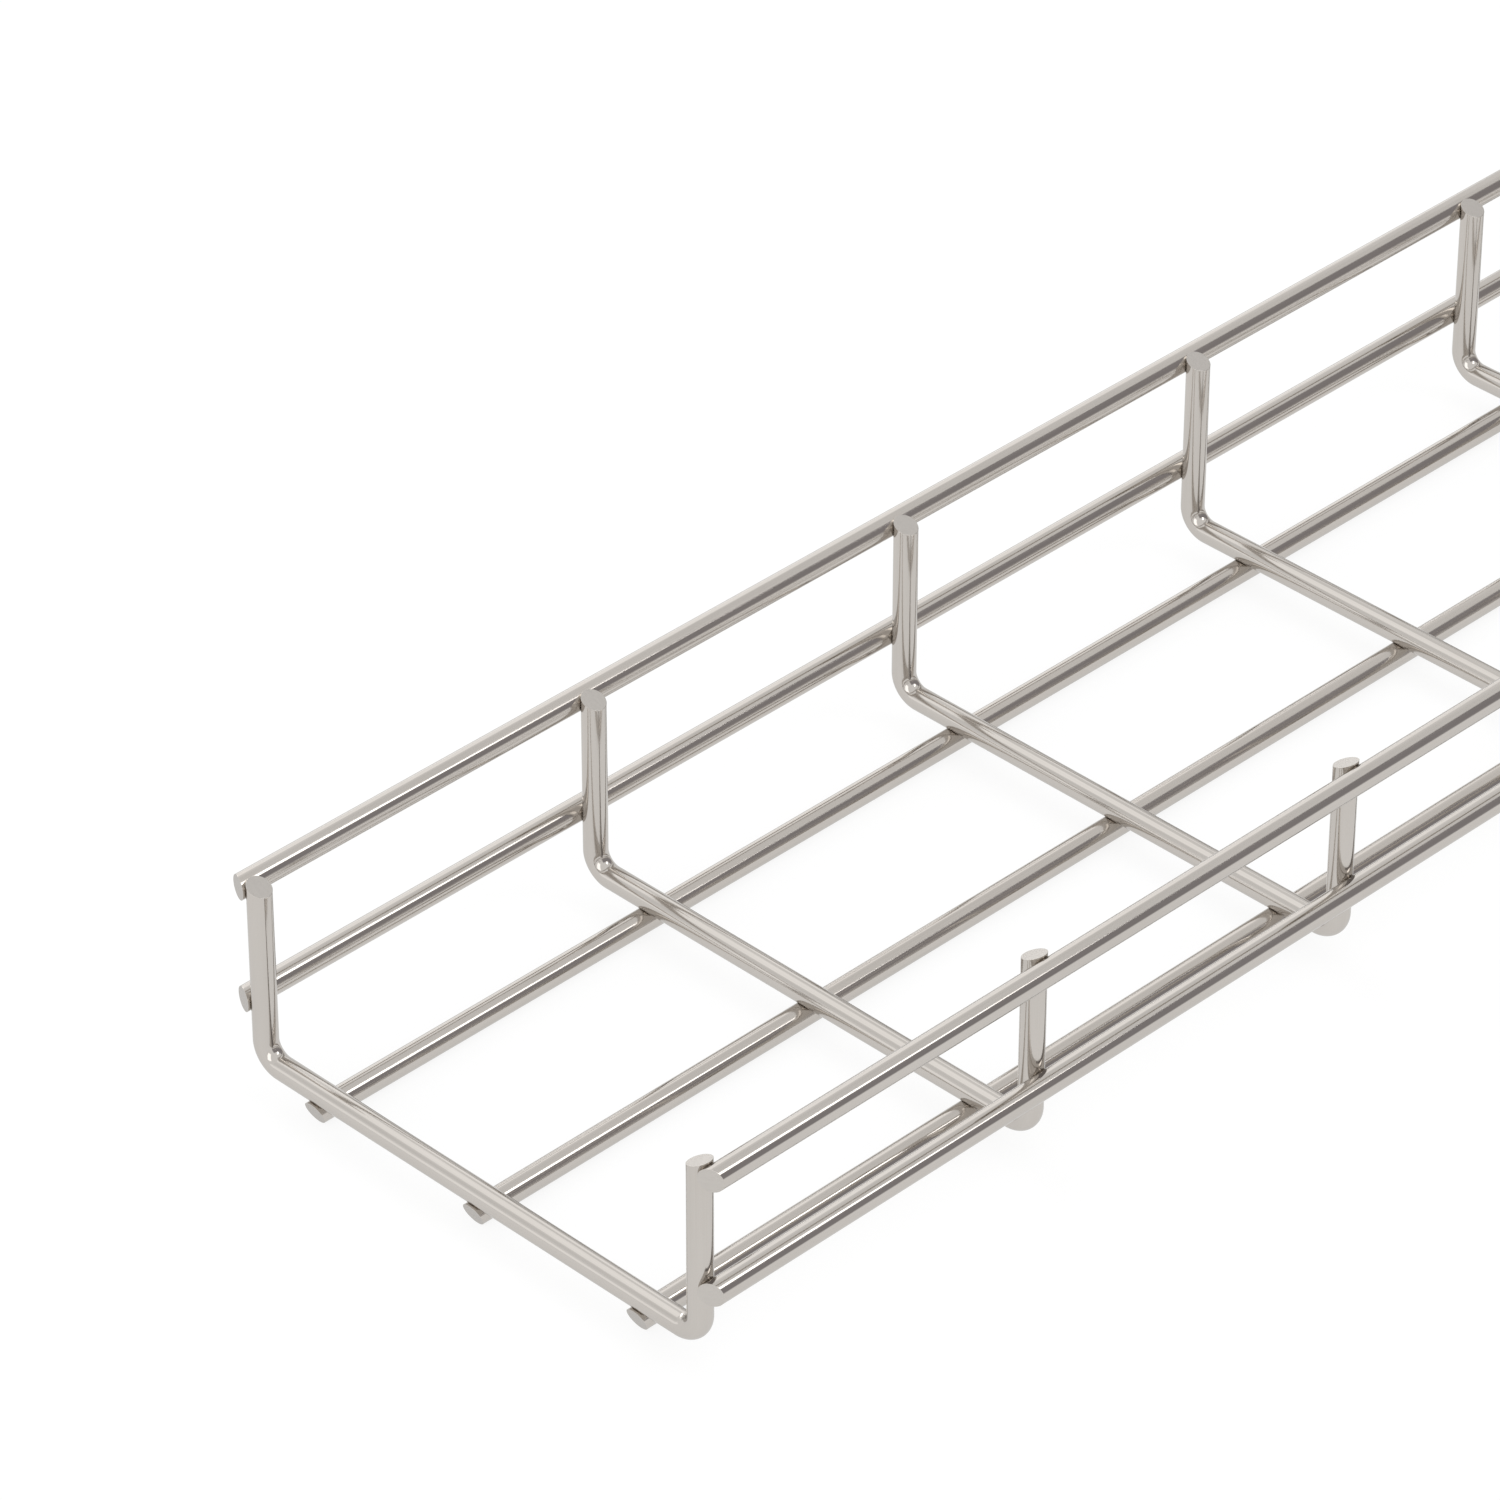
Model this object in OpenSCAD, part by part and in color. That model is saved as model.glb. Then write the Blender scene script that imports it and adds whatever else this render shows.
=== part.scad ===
// Wire mesh cable basket: a straight length of welded tray, 3 m long.
// U-shaped cross wires stand every 100 mm along long wires, which run under their bases
// and outside their legs. Each crossing is a resistance weld: the long wire gives way,
// and the cross wire seats in a shallow saddle in it.
//
// Frame: Y runs along the tray, X across it and Z up. The origin is the middle of the
// tray's box, on the floor that its floor wires lie on.

/* [Tray] */
// Overall width, across the outer side wires
tray_w = 150; // [100:10:400]
// Overall height, from under the floor wires to the crown of the top side wires
tray_h = 55; // [50:1:110]
// Nominal stock length, which holds a whole number of bays
tray_length = 3000; // [500:100:3000]

/* [Wires] */
// Diameter of the bent cross wires
cross_d = 5.8; // [4:0.1:7]
// Diameter of the straight long wires
long_d = 5.8; // [4:0.1:7]
// How deep each weld presses a cross wire into a long wire
weld_sink = 0.9; // [0.3:0.1:1.5]

/* [Mesh] */
// Distance between neighbouring cross wires
mesh_pitch = 100; // [80:5:150]
// Distance between neighbouring wires of the floor
floor_pitch = 50; // [30:5:60]
// Distance between neighbouring wires of a side
side_pitch = 30; // [24:1:50]

/* [Bends and ends] */
// Inner radius of a cross wire's two bends
bend_inner_r = 2.5; // [1:0.1:8]
// Slant of the wires' cut ends, back from the side that is welded
cut_slant = 22; // [0:1:30]
// How far the long wires run past the outer sides of the first and last cross wires
end_overhang = 0; // [0:0.1:20]

/* [Hidden] */
$fn = 64;
cross_colour = [0.78, 0.76, 0.73];
long_colour = [0.74, 0.72, 0.69];

// Distance between the centrelines of two wires that are welded together
weld_reach = (cross_d + long_d) / 2 - weld_sink;
// Length of a cross wire's stretch that cuts one saddle, well past the long wire's sides
saddle_cut = 2 * long_d;
// Rise of a cut end, for each millimetre across the wire
cut_slope = tan(cut_slant);

// Heights of the wires' centrelines, from the floor up
floor_z = long_d / 2;
base_z = floor_z + weld_reach;
top_z = tray_h - long_d / 2;

// Distances of the upright wires' centrelines from the middle of the tray
side_x = (tray_w - long_d) / 2;
leg_x = side_x - weld_reach;

// Radius of a bend's centreline, and where the straight base and legs start from it
bend_r = bend_inner_r + cross_d / 2;
bend_x = leg_x - bend_r;
bend_z = base_z + bend_r;

// Straight lengths, and how many wires they take. A cross wire and a long wire end at
// their welded sides level with the outermost wire that they are welded to.
base_length = 2 * bend_x;
leg_length = tray_h - bend_z;
bays = round(tray_length / mesh_pitch);
cross_count = bays + 1;
floor_count = 1 + floor((base_length - long_d) / floor_pitch);
side_count = 1 + floor((top_z - bend_z - long_d / 2) / side_pitch);
long_length = bays * mesh_pitch + cross_d + 2 * end_overhang;

// Centreline places of the numbered wires: cross wires and floor wires are spread about
// the middle, and side wires go down from the top
function cross_y(i) = (i - 1 - bays / 2) * mesh_pitch;
function floor_x(i) = (i - (floor_count + 1) / 2) * floor_pitch;
function side_wire_z(i) = top_z - (i - 1) * side_pitch;

// Names of the numbered wires, with two figures for the cross wires
function cross_name(i) = str("cross_wire_", i < 10 ? "0" : "", i);
function floor_name(i) = str("floor_wire_", i);
function side_name(side, i) = str(side < 0 ? "left" : "right", "_side_wire_", i);

// What the shears take off the top of an upright wire of diameter d, with some room. The
// cut starts at z = 0 on the wire's welded side, +X, and slants down to its free side.
module cut_end(d) {
    rotate([90, 0, 0])
        linear_extrude(2 * d, center = true)
        polygon([
            [-d, -1.5 * d * cut_slope],
            [d, 0.5 * d * cut_slope],
            [d, d],
            [-d, d]
        ]);
}

// Half of a cross wire: half its base, one bend and one leg, on the +X side
module cross_wire_half() {
    translate([0, 0, base_z])
        rotate([0, 90, 0])
        cylinder(d = cross_d, h = bend_x);
    translate([bend_x, 0, bend_z])
        rotate([-90, 0, 0])
        rotate_extrude(angle = 90)
        translate([bend_r, 0])
        circle(d = cross_d);
    translate([leg_x, 0, bend_z])
        difference() {
            cylinder(d = cross_d, h = leg_length + cross_d / 2);
            translate([0, 0, leg_length]) cut_end(cross_d);
        }
}

// One cross wire, bent from a single cut length into a U
module cross_wire(i) {
    color(cross_colour)
        translate([0, cross_y(i), 0])
        union() {
            cross_wire_half();
            mirror([1, 0, 0]) cross_wire_half();
        }
}

// A straight wire along the whole tray, with its middle at the origin and its welded
// side towards +X
module straight_wire() {
    difference() {
        rotate([90, 0, 0]) cylinder(d = long_d, h = long_length + long_d, center = true);
        for (turn = [-90, 90])
            rotate([turn, 0, 0])
            translate([0, 0, long_length / 2])
            cut_end(long_d);
    }
}

// One wire of the floor, under the bases, with a saddle for each cross wire
module floor_wire(i) {
    color(long_colour)
        difference() {
            translate([floor_x(i), 0, floor_z])
                rotate([0, -90, 0])
                straight_wire();
            for (k = [1 : cross_count])
                translate([floor_x(i), cross_y(k), base_z])
                rotate([0, 90, 0])
                cylinder(d = cross_d, h = saddle_cut, center = true);
        }
}

// One wire of a side, outside the legs, with a saddle for each cross wire
module side_wire(side, i) {
    color(long_colour)
        difference() {
            translate([side * side_x, 0, side_wire_z(i)])
                rotate([0, 0, side > 0 ? 180 : 0])
                straight_wire();
            for (k = [1 : cross_count])
                translate([side * leg_x, cross_y(k), side_wire_z(i)])
                cylinder(d = cross_d, h = saddle_cut, center = true);
        }
}

for (i = [1 : floor_count])
    floor_wire(i);

for (side = [-1, 1], i = [1 : side_count])
    side_wire(side, i);

for (i = [1 : cross_count])
    cross_wire(i);
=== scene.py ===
import math
import bpy
import bmesh
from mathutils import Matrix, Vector


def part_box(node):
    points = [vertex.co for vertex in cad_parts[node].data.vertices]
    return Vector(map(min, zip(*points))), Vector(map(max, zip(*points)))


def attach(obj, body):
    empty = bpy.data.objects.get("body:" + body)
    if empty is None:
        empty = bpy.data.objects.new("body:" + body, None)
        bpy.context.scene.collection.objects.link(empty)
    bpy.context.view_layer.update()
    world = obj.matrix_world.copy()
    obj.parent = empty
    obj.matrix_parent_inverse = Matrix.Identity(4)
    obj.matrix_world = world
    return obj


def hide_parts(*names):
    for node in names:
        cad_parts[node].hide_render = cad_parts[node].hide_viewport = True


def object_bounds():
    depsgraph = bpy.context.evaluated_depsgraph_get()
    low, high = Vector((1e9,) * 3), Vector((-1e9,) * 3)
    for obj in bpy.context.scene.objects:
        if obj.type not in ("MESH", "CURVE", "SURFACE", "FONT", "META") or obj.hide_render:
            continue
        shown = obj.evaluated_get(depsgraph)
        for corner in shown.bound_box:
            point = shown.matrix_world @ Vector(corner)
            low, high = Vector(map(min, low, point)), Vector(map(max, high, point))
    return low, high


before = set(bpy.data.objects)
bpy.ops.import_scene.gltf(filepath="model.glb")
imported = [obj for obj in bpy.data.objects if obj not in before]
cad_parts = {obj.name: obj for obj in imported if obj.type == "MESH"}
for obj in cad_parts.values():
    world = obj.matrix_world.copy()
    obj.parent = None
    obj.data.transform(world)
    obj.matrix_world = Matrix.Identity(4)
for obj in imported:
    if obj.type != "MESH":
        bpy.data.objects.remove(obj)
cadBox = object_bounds()
print("frame loaded:", len(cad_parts), "wires")

# the wires' names, in their order along and across the tray
crossNames = sorted(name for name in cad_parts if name.startswith("cross_wire_"))
floorNames = sorted(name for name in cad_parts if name.startswith("floor_wire_"))
sideNames = sorted(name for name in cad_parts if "_side_wire_" in name)


def middle(name):
    low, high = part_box(name)
    return (low + high) / 2


# sizes that the frame gives
crossLow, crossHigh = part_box(crossNames[0])
crossRadius = (crossHigh.y - crossLow.y) / 2
longLow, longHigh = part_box(floorNames[0])
longRadius = (longHigh.z - longLow.z) / 2
baseHeight = crossLow.z + crossRadius            # centreline of the cross wires' bases
legTop = crossHigh.z                             # cut ends of the cross wires
legPlace = crossHigh.x - crossRadius             # centreline of the right legs
weldReach = baseHeight - middle(floorNames[0]).z  # between two welded centrelines
crossPlaces = [middle(name).y for name in crossNames]
print("cross wires every", round(crossPlaces[1] - crossPlaces[0], 4), "m")


def addNode(tree, kind, **settings):
    node = tree.nodes.new(kind)
    for key, value in settings.items():
        setattr(node, key, value)
    return node


def joinNodes(tree, source, target):
    tree.links.new(source, target)


def mathNode(tree, operation, first, second):
    # first and second are each a number or another node's output
    node = addNode(tree, "ShaderNodeMath", operation=operation)
    for value, socket in zip((first, second), node.inputs):
        if isinstance(value, float):
            socket.default_value = value
        else:
            joinNodes(tree, value, socket)
    return node.outputs[0]


def rangeNode(tree, value, source, target):
    # maps the source range smoothly to the target range
    node = addNode(tree, "ShaderNodeMapRange", interpolation_type="SMOOTHSTEP")
    joinNodes(tree, value, node.inputs["Value"])
    for key, number in zip(("From Min", "From Max", "To Min", "To Max"), source + target):
        node.inputs[key].default_value = number
    return node.outputs["Result"]


# the middle of a noise's values, which a smooth step spreads out
toneRange = (0.35, 0.65)
roughRange = (0.3, 0.7)


def noiseNode(tree, wireMap, perMetre, detail=3.0, roughness=0.5):
    # noise on a map in metres, with so many grains per metre across and along
    stretch = addNode(tree, "ShaderNodeVectorMath", operation="MULTIPLY")
    joinNodes(tree, wireMap, stretch.inputs[0])
    stretch.inputs[1].default_value = (*perMetre, 1)
    node = addNode(tree, "ShaderNodeTexNoise")
    joinNodes(tree, stretch.outputs[0], node.inputs["Vector"])
    node.inputs["Scale"].default_value = 1.0
    node.inputs["Detail"].default_value = detail
    node.inputs["Roughness"].default_value = roughness
    return node.outputs["Fac"]


def blendNode(tree, share, first, second):
    # blends two colours, each a written colour or another node's output
    node = addNode(tree, "ShaderNodeMix", data_type="RGBA")
    joinNodes(tree, share, node.inputs["Factor"])
    for key, colour in (("A", first), ("B", second)):
        if isinstance(colour, tuple):
            node.inputs[key].default_value = (*colour, 1)
        else:
            joinNodes(tree, colour, node.inputs[key])
    return node.outputs["Result"]


def bumpNode(tree, height, depth):
    node = addNode(tree, "ShaderNodeBump")
    node.inputs["Strength"].default_value = 1.0
    node.inputs["Distance"].default_value = depth
    joinNodes(tree, height, node.inputs["Height"])
    return node.outputs["Normal"]


def newMetal(name, edgeTint):
    material = bpy.data.materials.new(name)
    material.use_nodes = True
    tree = material.node_tree
    shader = tree.nodes["Principled BSDF"]
    shader.inputs["Metallic"].default_value = 1.0
    shader.inputs["Specular Tint"].default_value = (*edgeTint, 1)
    return material, tree, shader


def newGlow(name):
    # an empty material for a floor or a board, and its output
    material = bpy.data.materials.new(name)
    material.use_nodes = True
    tree = material.node_tree
    tree.nodes.clear()
    return material, tree, addNode(tree, "ShaderNodeOutputMaterial").inputs["Surface"]


def mixShaders(tree, share, first, second, target):
    node = addNode(tree, "ShaderNodeMixShader")
    for source, socket in zip((share, first, second), node.inputs):
        joinNodes(tree, source, socket)
    joinNodes(tree, node.outputs[0], target)


steel = {
    "light": (0.553, 0.522, 0.489),     # clean drawn wire
    "dark": (0.524, 0.494, 0.461),      # duller stretches
    "edgeTint": (0.85, 0.85, 0.85),     # a little darker where it turns away
    "weldTint": (0.47, 0.40, 0.33),     # straw tint from the heat of a weld
    "weldTintShare": 0.3,
    "weldRough": 0.06,                  # added roughness at a weld
    "weldPatches": (0.5, 1.0),          # how unevenly a weld's heat has marked the wire
    "rough": (0.075, 0.13),
    "dieLines": (3600.0, 5.0),          # drawing marks per metre, round the wire and along it
    "dieLineDepth": 0.0000006,
    "patches": (160.0, 28.0),           # broad uneven tone, per metre
    "patchDetail": 4.0,
}


def makeDrawnSteel():
    material, tree, shader = newMetal("drawnSteel", steel["edgeTint"])

    # the wire's own map: round the section, then along the wire, in metres
    wireMap = addNode(tree, "ShaderNodeUVMap", uv_map="alongWire").outputs["UV"]
    lines = noiseNode(tree, wireMap, steel["dieLines"])
    patches = noiseNode(tree, wireMap, steel["patches"], steel["patchDetail"])
    halfLines = mathNode(tree, "MULTIPLY", lines, 0.5)
    halfPatches = mathNode(tree, "MULTIPLY", patches, 0.5)
    tone = mathNode(tree, "ADD", halfLines, halfPatches)
    clean = rangeNode(tree, tone, toneRange, (0, 1))
    colour = blendNode(tree, clean, steel["dark"], steel["light"])

    # heat tint, painted round each weld when the wire was made
    heat = addNode(tree, "ShaderNodeAttribute", attribute_name="weldHeat").outputs["Fac"]
    patchy = rangeNode(tree, patches, roughRange, steel["weldPatches"])
    uneven = mathNode(tree, "MULTIPLY", heat, patchy)
    tinted = mathNode(tree, "MULTIPLY", uneven, steel["weldTintShare"])
    joinNodes(tree, blendNode(tree, tinted, colour, steel["weldTint"]), shader.inputs["Base Color"])

    rough = rangeNode(tree, tone, roughRange, steel["rough"])
    weldRough = mathNode(tree, "MULTIPLY", uneven, steel["weldRough"])
    joinNodes(tree, mathNode(tree, "ADD", rough, weldRough), shader.inputs["Roughness"])
    joinNodes(tree, bumpNode(tree, lines, steel["dieLineDepth"]), shader.inputs["Normal"])
    return material


cutFace = {
    "light": (0.535, 0.507, 0.476),
    "dark": (0.515, 0.488, 0.458),
    "edgeTint": (0.76, 0.76, 0.76),
    "rough": (0.18, 0.24),
    "tears": (2600.0, 420.0),           # tear marks per metre, across and along them
    "tearDetail": 4.0,
    "tearRoughness": 0.6,
    "tearDepth": 0.0000004,
}


def makeCutSteel():
    # sheared end: fine parallel tear marks across the disc
    material, tree, shader = newMetal("cutSteel", cutFace["edgeTint"])
    discMap = addNode(tree, "ShaderNodeUVMap", uv_map="alongWire").outputs["UV"]
    grain = (cutFace["tearDetail"], cutFace["tearRoughness"])
    tears = noiseNode(tree, discMap, cutFace["tears"], *grain)
    clean = rangeNode(tree, tears, toneRange, (0, 1))
    colour = blendNode(tree, clean, cutFace["dark"], cutFace["light"])
    rough = rangeNode(tree, tears, roughRange, cutFace["rough"])
    joinNodes(tree, colour, shader.inputs["Base Color"])
    joinNodes(tree, rough, shader.inputs["Roughness"])
    joinNodes(tree, bumpNode(tree, tears, cutFace["tearDepth"]), shader.inputs["Normal"])
    return material


drawnSteel = makeDrawnSteel()
cutSteel = makeCutSteel()
print("steel made")


wireMesh = {
    "sides": 48,
    "cutSlant": 22.0,          # degrees that a cut end falls back from the welded side
    "cutZone": 0.008,          # stretch in which the rings turn square again
    "edgeRadius": 0.00006,     # rolled edge of a cut end
    "edgeSteps": 3,
    "heatReach": 0.0075,       # how far the heat tint runs from a weld
}
cutSlope = math.tan(math.radians(wireMesh["cutSlant"]))


def slantShare(behind):
    # 1 at the tip of a wire, 0 where its rings are square to it
    return max(0.0, 1.0 - behind / wireMesh["cutZone"])


def edgeRings(radius):
    # how far behind the cut, and how wide, the rings of a rolled edge are
    edge, steps = wireMesh["edgeRadius"], wireMesh["edgeSteps"]
    turns = [math.pi / 2 * (1 - step / steps) for step in range(steps + 1)]
    rings = [(edge * (1 - math.sin(turn)), radius - edge * (1 - math.cos(turn))) for turn in turns]
    # one more ring close behind keeps the shine of the wire even
    return rings + [(2 * edge, radius)]


def weldHeat(point, welds):
    # 1 at a weld, fading to 0 at the heat's reach
    gap = min((point - weld).length for weld in welds)
    return max(0.0, 1.0 - gap / wireMesh["heatReach"]) ** 2


def sweepWire(name, stations, welds, pressIn=None):
    # a station is (centre, direction, welded side, radius, slant share);
    # the slant share is below 0 at the wire's far end
    sides = wireMesh["sides"]
    fullRadius = max(station[3] for station in stations)
    bm = bmesh.new()
    wireUv = bm.loops.layers.uv.new("alongWire")
    heatLayer = bm.verts.layers.float.new("weldHeat")
    rings, walked = [], [0.0]
    for number, (centre, direction, welded, radius, slant) in enumerate(stations):
        across = direction.cross(welded)
        ring = []
        for side in range(sides):
            angle = 2 * math.pi * side / sides
            height = radius * math.sin(angle)
            point = centre + across * (radius * math.cos(angle)) + welded * height
            point += direction * (slant * (fullRadius - height) * cutSlope)
            vert = bm.verts.new(pressIn(point) if pressIn else point)
            vert[heatLayer] = weldHeat(vert.co, welds)
            ring.append(vert)
        rings.append(ring)
        if number:
            walked.append(walked[-1] + (centre - stations[number - 1][0]).length)

    step = 2 * math.pi * fullRadius / sides
    for row in range(len(rings) - 1):
        near, far = rings[row], rings[row + 1]
        for side in range(sides):
            after = (side + 1) % sides
            face = bm.faces.new((near[side], near[after], far[after], far[side]))
            face.smooth = True
            corners = ((side, row), (side + 1, row), (side + 1, row + 1), (side, row + 1))
            for loop, (turn, place) in zip(face.loops, corners):
                loop[wireUv].uv = (turn * step, walked[place])

    # both cut faces, mapped in metres across them
    for end in (0, -1):
        centre, direction, welded, radius, slant = stations[end]
        face = bm.faces.new(rings[end])
        face.material_index = 1
        across = direction.cross(welded)
        for loop in face.loops:
            offset = loop.vert.co - centre
            loop[wireUv].uv = (offset.dot(across) + centre.y, offset.dot(welded) + centre.x)
    bmesh.ops.recalc_face_normals(bm, faces=bm.faces)
    mesh = bpy.data.meshes.new(name)
    bm.to_mesh(mesh)
    bm.free()
    mesh.materials.append(drawnSteel)
    mesh.materials.append(cutSteel)
    wire = bpy.data.objects.new(name, mesh)
    bpy.context.scene.collection.objects.link(wire)
    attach(wire, "root")
    return wire


crossWire = {
    "innerBend": 0.0025,       # inner radius of the two bends
    "bendSteps": 18,
}


def legStations(side, along):
    # one leg and its bend, from the cut end down to the base
    bend = crossWire["innerBend"] + crossRadius
    bendHeight = baseHeight + bend
    down, outward = Vector((0, 0, -1)), Vector((side, 0, 0))
    stations = []
    rings = edgeRings(crossRadius)
    for behind in (wireMesh["cutZone"] / 2, wireMesh["cutZone"], (legTop - bendHeight) / 2):
        rings.append((behind, crossRadius))
    for behind, radius in rings:
        centre = Vector((side * legPlace, along, legTop - behind))
        stations.append((centre, down, outward, radius, slantShare(behind)))
    steps = crossWire["bendSteps"]
    for turn in [math.pi / 2 * step / steps for step in range(steps + 1)]:
        outward = Vector((side * math.cos(turn), 0, -math.sin(turn)))
        ahead = Vector((-side * math.sin(turn), 0, -math.cos(turn)))
        middleOfBend = Vector((side * (legPlace - bend), along, bendHeight))
        stations.append((middleOfBend + outward * bend, ahead, outward, crossRadius, 0.0))
    return stations


def buildCrossWires():
    for name, along in zip(crossNames, crossPlaces):
        left = legStations(-1, along)
        right = [(centre, -ahead, outward, radius, -slant)
                 for centre, ahead, outward, radius, slant in reversed(legStations(1, along))]
        welds = []
        for longName in floorNames:
            welds.append(Vector((middle(longName).x, along, baseHeight - crossRadius)))
        for longName in sideNames:
            side = math.copysign(1, middle(longName).x)
            welds.append(Vector((side * (legPlace + crossRadius), along, middle(longName).z)))
        wire = sweepWire("crossWire" + name[-2:], left + right, welds)
        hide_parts(name)
    print("cross wires made:", len(crossNames))


buildCrossWires()


longWire = {
    "saddleSteps": 12,          # rings over each weld's saddle
    "saddleMargin": 0.0004,
}


def longStations(centre, start, stop, welded):
    # rings crowd over each weld, where the cross wire has pressed in
    direction = Vector((0, 1, 0))
    edges = edgeRings(longRadius)
    halfSaddle = math.sqrt(crossRadius ** 2 - (weldReach - longRadius) ** 2)
    halfSaddle += longWire["saddleMargin"]
    count = longWire["saddleSteps"]
    places = [(start + behind, radius) for behind, radius in edges]
    for along in crossPlaces:
        for step in range(count + 1):
            place = along + halfSaddle * (2 * step / count - 1)
            if start + 2 * wireMesh["edgeRadius"] < place < stop - 2 * wireMesh["edgeRadius"]:
                places.append((place, longRadius))
    places += [(stop - behind, radius) for behind, radius in reversed(edges)]
    # square rings beside the end saddles
    places += [(start + wireMesh["cutZone"], longRadius), (stop - wireMesh["cutZone"], longRadius)]
    places.sort()
    return [
        (Vector((centre.x, place, centre.z)), direction, welded, radius,
         slantShare(place - start) - slantShare(stop - place))
        for place, radius in places
    ]


def buildLongWire(name, welded):
    # welded points from the wire's centreline to the cross wires
    low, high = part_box(name)
    centre = middle(name)

    def pressIn(point):
        along = min(crossPlaces, key=lambda place: abs(place - point.y))
        gap = abs(point.y - along)
        if gap >= crossRadius:
            return point
        limit = weldReach - math.sqrt(crossRadius ** 2 - gap ** 2)
        height = (point - centre).dot(welded)
        return point - welded * max(0.0, height - limit)

    welds = [Vector((centre.x, along, centre.z)) + welded * longRadius for along in crossPlaces]
    stations = longStations(centre, low.y, high.y, welded)
    pieceName = name.replace("_wire_", "Wire").replace("_side", "Side")
    wire = sweepWire(pieceName, stations, welds, pressIn)
    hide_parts(name)


for name in floorNames:
    buildLongWire(name, Vector((0, 0, 1)))
for name in sideNames:
    buildLongWire(name, Vector((-math.copysign(1, middle(name).x), 0, 0)))
print("long wires made:", len(floorNames) + len(sideNames))


studio = {
    "floorSize": 60.0,
    "floorGap": 0.00002,        # floor below the wires
    "floorGlow": 0.85,          # even white of the floor
    "floorLit": 0.15,           # share that takes light and shadow
    "roomLight": 1.0,
    "backdrop": 1.0,            # white that the camera and the steel see
    "fromEnd": 0.15,            # middle of the set, in from the tray's near end
    "middleHeight": 0.02,
    "boardDistance": 13.0,
    "boardColumns": 24,
    "boardRows": 8,
    "boxDistance": 2.2,
}

# the set stands round the near end of the tray
stageMiddle = Vector((0, cadBox[0].y + studio["fromEnd"], studio["middleHeight"]))

# boards that the steel mirrors: degrees round from +Y towards +X, degrees up, tone
boards = {
    "darkBoard": {"round": (-6, 97), "up": (7, 43), "tone": (0.334, 0.318, 0.328), "fadeBelow": 9},
    "greyCeiling": {"round": (-36, 60), "up": (43, 68), "tone": (0.92, 0.92, 0.92), "fadeBelow": 0},
    "greySide": {"round": (-97, -66), "up": (-2, 16), "tone": (0.72, 0.72, 0.72), "fadeBelow": 0},
    "lowGrey": {"round": (-44, -6), "up": (-1, 14), "tone": (0.86, 0.86, 0.86), "fadeBelow": 0},
    "farGrey": {"round": (-152, -122), "up": (27, 42), "tone": (0.93, 0.93, 0.93), "fadeBelow": 0},
}

# softboxes: degrees round and up, width and height in degrees, brightness
softboxes = {
    "keyBox": {"round": 49, "up": 53, "size": (14, 24), "bright": 2.8},
    "sideBox": {"round": -76, "up": 36, "size": (26, 18), "bright": 1.6},
    "sideGlow": {"round": -72, "up": 27, "size": (56, 30), "bright": 0.37},
    "lowSideGlow": {"round": -55, "up": 1, "size": (22, 14), "bright": 0.75},
    "highGlow": {"round": -98, "up": 55, "size": (36, 12), "bright": 0.34},
    "lowGlow": {"round": -146, "up": 11, "size": (30, 14), "bright": 0.28},
    "backBox": {"round": 160, "up": 23, "size": (44, 22), "bright": 1.0},
}


def towards(around, up):
    turn, lift = math.radians(around), math.radians(up)
    level = math.cos(lift)
    return Vector((math.sin(turn) * level, math.cos(turn) * level, math.sin(lift)))


def buildFloor():
    material, tree, surface = newGlow("paleFloor")
    glow = addNode(tree, "ShaderNodeEmission")
    glow.inputs["Strength"].default_value = studio["floorGlow"]
    lit = addNode(tree, "ShaderNodeBsdfDiffuse")
    lit.inputs["Color"].default_value = (studio["floorLit"],) * 3 + (1,)
    both = addNode(tree, "ShaderNodeAddShader")
    joinNodes(tree, glow.outputs[0], both.inputs[0])
    joinNodes(tree, lit.outputs[0], both.inputs[1])
    # clear from below, so the floor never hides the tray
    clear = addNode(tree, "ShaderNodeBsdfTransparent")
    below = addNode(tree, "ShaderNodeNewGeometry").outputs["Backfacing"]
    mixShaders(tree, below, both.outputs[0], clear.outputs[0], surface)

    half = studio["floorSize"] / 2
    mesh = bpy.data.meshes.new("floor")
    corners = [(-half, -half, 0), (half, -half, 0), (half, half, 0), (-half, half, 0)]
    mesh.from_pydata(corners, [], [(0, 1, 2, 3)])
    mesh.materials.append(material)
    floor = bpy.data.objects.new("floor", mesh)
    floor.location.z = cadBox[0].z - studio["floorGap"]
    bpy.context.scene.collection.objects.link(floor)


def paintBoard(name, board):
    # plain paint that thins out towards the board's lower edge
    material, tree, surface = newGlow(name)
    paint = addNode(tree, "ShaderNodeEmission")
    paint.inputs["Color"].default_value = (*board["tone"], 1)
    clear = addNode(tree, "ShaderNodeBsdfTransparent")
    cover = addNode(tree, "ShaderNodeAttribute", attribute_name="cover").outputs["Fac"]
    mixShaders(tree, cover, clear.outputs[0], paint.outputs[0], surface)
    return material


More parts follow.
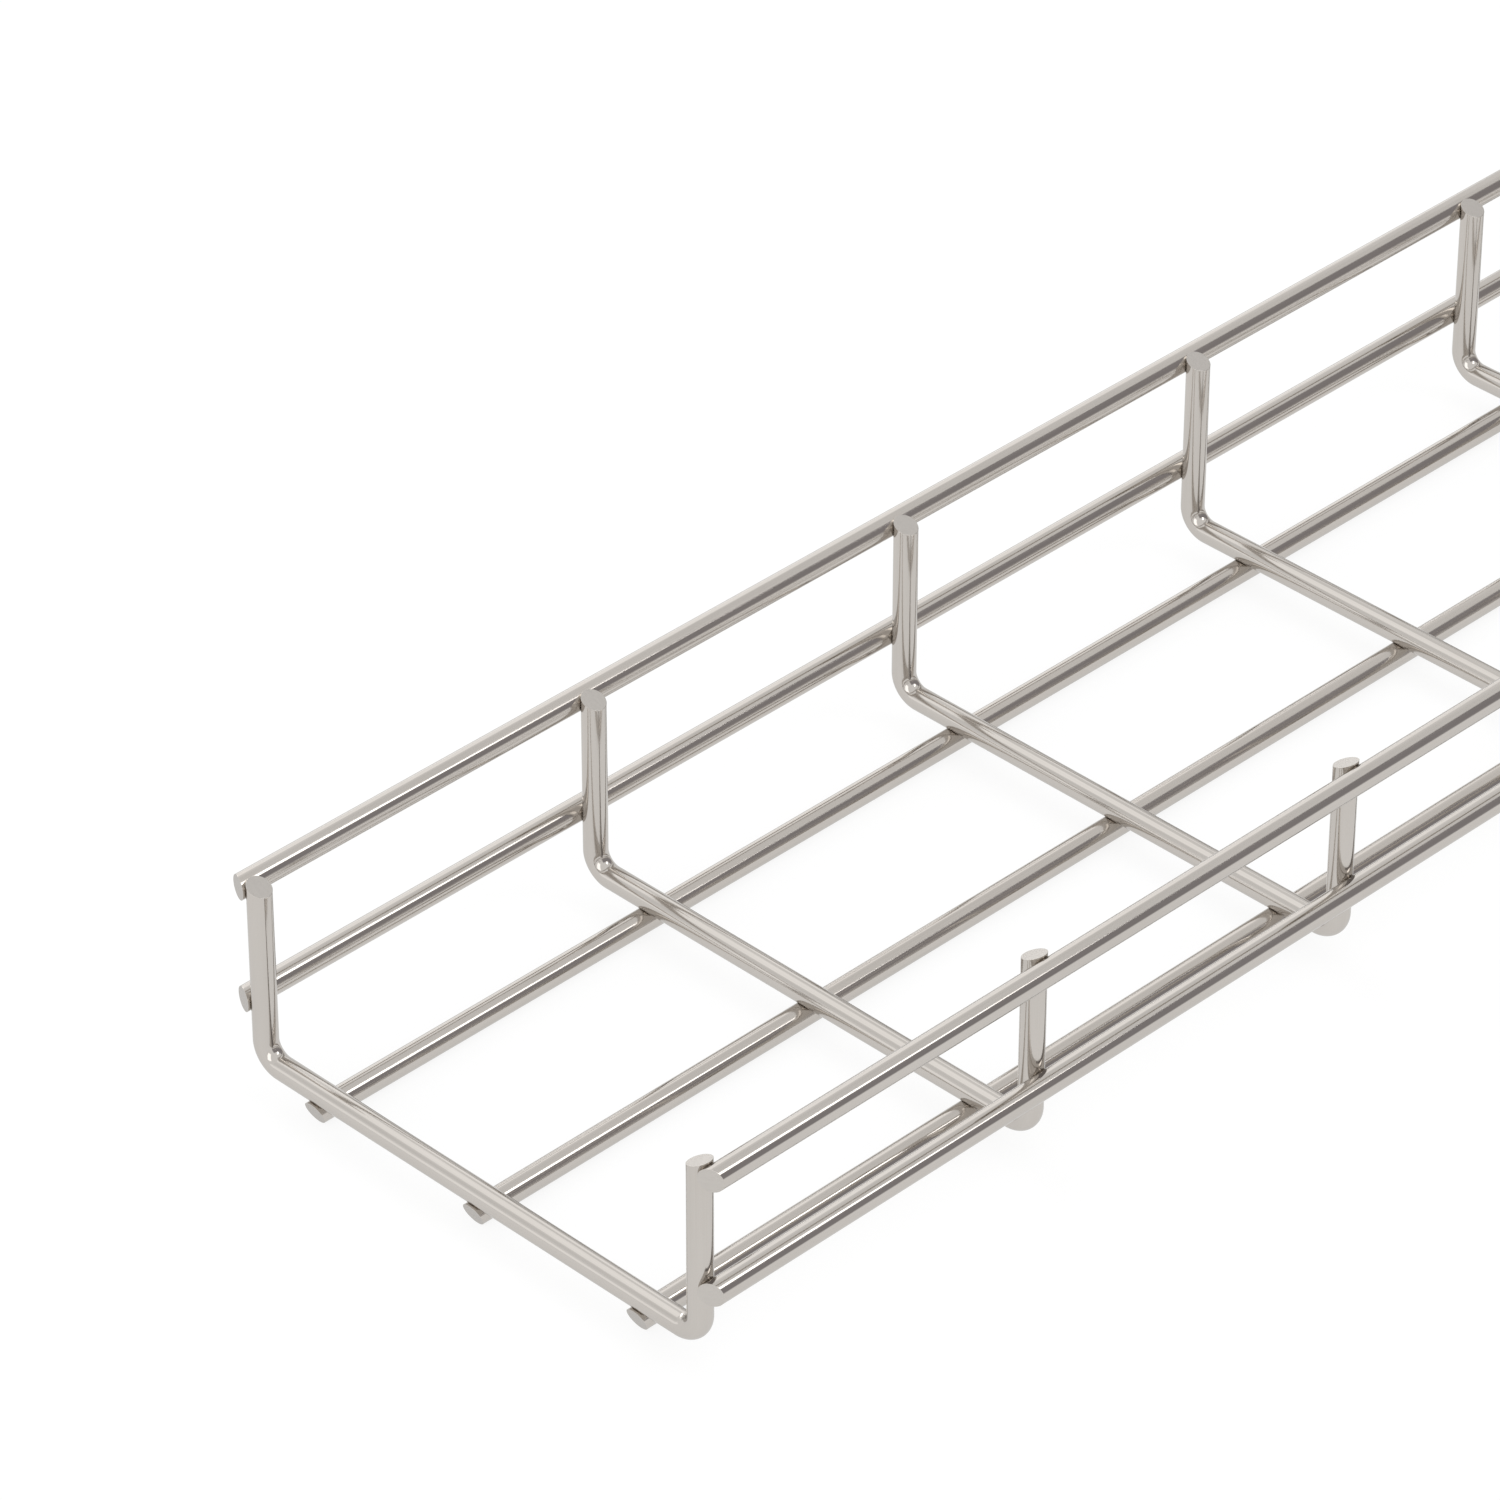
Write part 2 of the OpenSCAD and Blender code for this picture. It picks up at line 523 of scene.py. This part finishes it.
def hangBoard(name, board):
    # a curved board round the tray, seen only in the steel
    columns, rows = studio["boardColumns"], studio["boardRows"]
    left, right = board["round"]
    low, high = board["up"]
    heights = [low + (high - low) * row / rows for row in range(rows + 1)]
    covers = [1.0] * len(heights)
    if board["fadeBelow"]:
        heights.insert(0, low - board["fadeBelow"])
        covers.insert(0, 0.0)
    points = []
    for up in heights:
        for column in range(columns + 1):
            around = left + (right - left) * column / columns
            points.append(stageMiddle + towards(around, up) * studio["boardDistance"])
    faces = []
    for row in range(len(heights) - 1):
        for column in range(columns):
            corner = row * (columns + 1) + column
            faces.append((corner, corner + 1, corner + columns + 2, corner + columns + 1))
    mesh = bpy.data.meshes.new(name)
    mesh.from_pydata(points, [], faces)
    layer = mesh.attributes.new("cover", "FLOAT", "POINT")
    for number, value in enumerate(covers):
        for column in range(columns + 1):
            layer.data[number * (columns + 1) + column].value = value
    mesh.materials.append(paintBoard(name, board))
    hung = bpy.data.objects.new(name, mesh)
    hung.visible_camera = False
    hung.visible_diffuse = False
    hung.visible_shadow = False
    bpy.context.scene.collection.objects.link(hung)


def hangSoftbox(name, box):
    # energy follows the box's area, so its size leaves its brightness alone
    distance = studio["boxDistance"]
    lamp = bpy.data.lights.new(name, "AREA")
    lamp.shape = "RECTANGLE"
    lamp.size = 2 * distance * math.tan(math.radians(box["size"][0] / 2))
    lamp.size_y = 2 * distance * math.tan(math.radians(box["size"][1] / 2))
    lamp.energy = box["bright"] * math.pi * lamp.size * lamp.size_y
    hung = bpy.data.objects.new(name, lamp)
    away = towards(box["round"], box["up"])
    hung.location = stageMiddle + away * distance
    hung.rotation_mode = "QUATERNION"
    hung.rotation_quaternion = away.to_track_quat("Z", "Y")
    hung.visible_camera = False
    bpy.context.scene.collection.objects.link(hung)


def whiteRoom(tree, strength):
    room = addNode(tree, "ShaderNodeBackground")
    room.inputs["Color"].default_value = (1, 1, 1, 1)
    room.inputs["Strength"].default_value = strength
    return room.outputs[0]


def buildRoom():
    # white all round for the camera and for mirrored rays, plain light for the rest
    world = bpy.data.worlds.new("room")
    bpy.context.scene.world = world
    world.use_nodes = True
    tree = world.node_tree
    tree.nodes.clear()
    rays = addNode(tree, "ShaderNodeLightPath")
    seen = mathNode(tree, "MAXIMUM", rays.outputs["Is Camera Ray"], rays.outputs["Is Glossy Ray"])
    white = mathNode(tree, "MAXIMUM", seen, rays.outputs["Is Transmission Ray"])
    output = addNode(tree, "ShaderNodeOutputWorld").inputs["Surface"]
    room = whiteRoom(tree, studio["roomLight"])
    backdrop = whiteRoom(tree, studio["backdrop"])
    mixShaders(tree, white, room, backdrop, output)


buildFloor()
buildRoom()
for name, board in boards.items():
    hangBoard(name, board)
for name, box in softboxes.items():
    hangSoftbox(name, box)
print("studio ready")


view = {
    "place": (0.9421, -2.3618, 1.0159),
    "looking": (-0.57878, 0.57976, -0.57349),
    "lens": 182.79,             # millimetres, on the sensor below
    "sensor": 36,
    "reach": 100,               # how far the camera sees
}


def placeCamera():
    data = bpy.data.cameras.new("camera")
    data.lens = view["lens"]
    data.sensor_width = view["sensor"]
    data.clip_end = view["reach"]
    camera = bpy.data.objects.new("camera", data)
    camera.location = view["place"]
    camera.rotation_mode = "QUATERNION"
    camera.rotation_quaternion = Vector(view["looking"]).to_track_quat("-Z", "Y")
    bpy.context.scene.collection.objects.link(camera)
    bpy.context.scene.camera = camera


placeCamera()
bpy.context.scene.view_settings.view_transform = "Standard"
print("camera placed")
